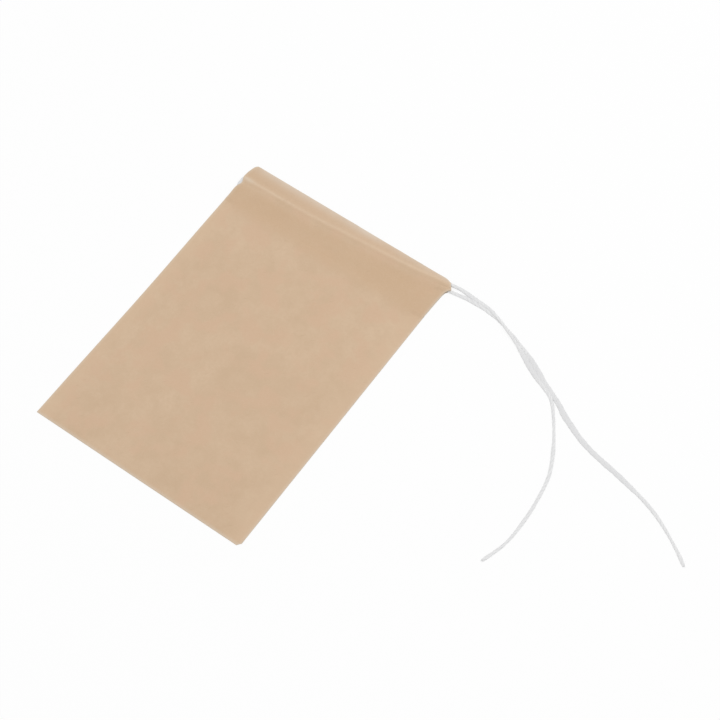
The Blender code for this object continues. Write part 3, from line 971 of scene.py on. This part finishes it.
def paper_marks(x, y):
    """What each place of the web is, from 0 to 1: doubled by a hem, with painted shade below the hem's edge
    and painted light on the flank under the front string; a painted highlight over the hem's upper strip;
    over the string; in a sealed side; painted light and shade for the slopes; and a painted highlight on
    folds and cut edges, which goes up to 2 on the cut sides."""
    to_mouth = mouth_edge(x) - y
    # Painted highlight: the strip between the front string and the mouth, palest at the mouth's fold
    strip = (1.0 - smooth(-0.0006, 0.0004, front_line(x) - y)) * (0.14 + 0.86 * tent(to_mouth, 0.0019))
    strip = strip * (0.70 + 0.30 * tent(x - 0.002, 0.020)) * (1.0 - 0.35 * tent(x - 0.0215, 0.006))
    # The hem doubles the paper; the soft lower edge reaching below the hem is painted shade of the step
    doubled = smooth(HEM_EDGE - 0.0048, HEM_EDGE + 0.0010, y) * (1.0 - 0.6 * strip)
    corner = tent(np.hypot(x - SIDE, y - 0.0470), 0.0060)
    # Painted light on the shaded flank just under the front string, and lighter towards the string's corner
    doubled = doubled * (1.0 - 0.90 * tent(front_line(x) - 0.0014 - y, 0.0013)) * (1.0 - 0.6 * corner)
    ends = 0.74 + 0.26 * smooth(0.012, 0.026, np.abs(x))
    string_under = ends * tent(y - front_line(x), 0.00055)
    seam = smooth(0.0275, SIDE, np.abs(x)) * (1.0 - smooth(0.0330, 0.0370, y))
    # Painted light and shade for the slopes: lighter patches below the hem near the sides, darker towards the
    # bottom
    sides = tent(np.abs(x) - 0.0300, 0.0085) * tent(y - 0.0290, 0.0070)
    low = smooth(-0.0100, -0.0400, y) * tent(x - 0.0120, 0.0260)
    tone = np.clip(0.5 + 0.5 * sides - 0.32 * low, 0.0, 1.0)
    # Painted highlight on the mouth and bottom folds, the cut sides and the left end of the front string's
    # ridge
    to_end = np.minimum(to_mouth, y - BOTTOM)
    folded = tent(np.clip(to_end - 0.0001, 0.0, 1.0), 0.00040)
    worn = np.maximum(0.9 * tent(SIDE - np.abs(x), 0.00050), folded)
    worn = np.maximum(worn, 0.9 * tent(x + 0.0332, 0.0022) * tent(y - front_line(x), 0.00080))
    worn[:, [0, -1]] = 2.0
    marks = {"strip": strip, "doubled": doubled, "string_under": string_under}
    return {**marks, "seam": seam, "tone": tone, "worn": worn}


class TEABAG_OT_stage(bpy.types.Operator):
    """Make the white table, the even room light and one large soft light"""

    bl_idname = "teabag.stage"
    bl_label = "Table and light"

    def execute(self, context):
        stage = context.scene.tea_bag_stage
        corners = [(x * TABLE_REACH, y * TABLE_REACH, 0.0) for x, y in ((-1, -1), (1, -1), (1, 1), (-1, 1))]
        mesh = bpy.data.meshes.new("table")
        mesh.from_pydata(corners, [], [(0, 1, 2, 3)])
        mesh.materials.append(table_material(stage))
        table = bpy.data.objects.new("table", mesh)
        context.scene.collection.objects.link(table)
        world = bpy.data.worlds.new("room")
        world.use_nodes = True
        start = Wire(world.node_tree, None)
        background = world.node_tree.nodes["Background"]
        background.inputs["Color"].default_value = (1.0, 1.0, 1.0, 1.0)
        strength = stage.sky + (1.0 - stage.sky) * seen_directly(start)
        world.node_tree.links.new(strength.socket, background.inputs["Strength"])
        context.scene.world = world
        light = bpy.data.lights.new("soft_light", "AREA")
        light.shape = "SQUARE"
        light.size = LIGHT_SIDE
        light.energy = stage.key_power
        lamp = bpy.data.objects.new("soft_light", light)
        back = np.array(LIGHT_FROM) / np.linalg.norm(LIGHT_FROM)
        right = np.cross([0.0, 0.0, 1.0], back)
        right /= np.linalg.norm(right)
        lamp.matrix_world = placed(right, np.cross(back, right), back, np.add(LIGHT_AT, LIGHT_FROM))
        context.scene.collection.objects.link(lamp)
        context.scene.view_settings.view_transform = "Standard"
        return {"FINISHED"}


class TEABAG_PT_panel(bpy.types.Panel):
    """The tea bag's settings and the steps that make it"""

    bl_idname = "TEABAG_PT_panel"
    bl_label = "Tea bag"
    bl_space_type = "VIEW_3D"
    bl_region_type = "UI"
    bl_category = "Tea bag"

    def draw(self, context):
        for step in STEPS:
            self.layout.operator(step.bl_idname)
        for group in (context.scene.tea_bag_paper, context.scene.tea_bag_string, context.scene.tea_bag_stage):
            box = self.layout.box()
            for name in group.bl_rna.properties.keys():
                if name not in ("rna_type", "name"):
                    box.prop(group, name)


GROUPS = {"tea_bag_paper": TeaBagPaper, "tea_bag_string": TeaBagString, "tea_bag_stage": TeaBagStage}
STEPS = (TEABAG_OT_camera, TEABAG_OT_string, TEABAG_OT_paper, TEABAG_OT_stage)


def register():
    for group in (*GROUPS.values(), *STEPS, TEABAG_PT_panel):
        bpy.utils.register_class(group)
    for name, group in GROUPS.items():
        setattr(bpy.types.Scene, name, bpy.props.PointerProperty(type=group))


def unregister():
    for name in GROUPS:
        delattr(bpy.types.Scene, name)
    for group in (TEABAG_PT_panel, *reversed(STEPS), *reversed(list(GROUPS.values()))):
        bpy.utils.unregister_class(group)


def main():
    register()
    bpy.ops.teabag.camera()
    bpy.ops.teabag.string()
    bpy.ops.teabag.paper()
    bpy.ops.teabag.stage()


if __name__ == "__main__":
    main()
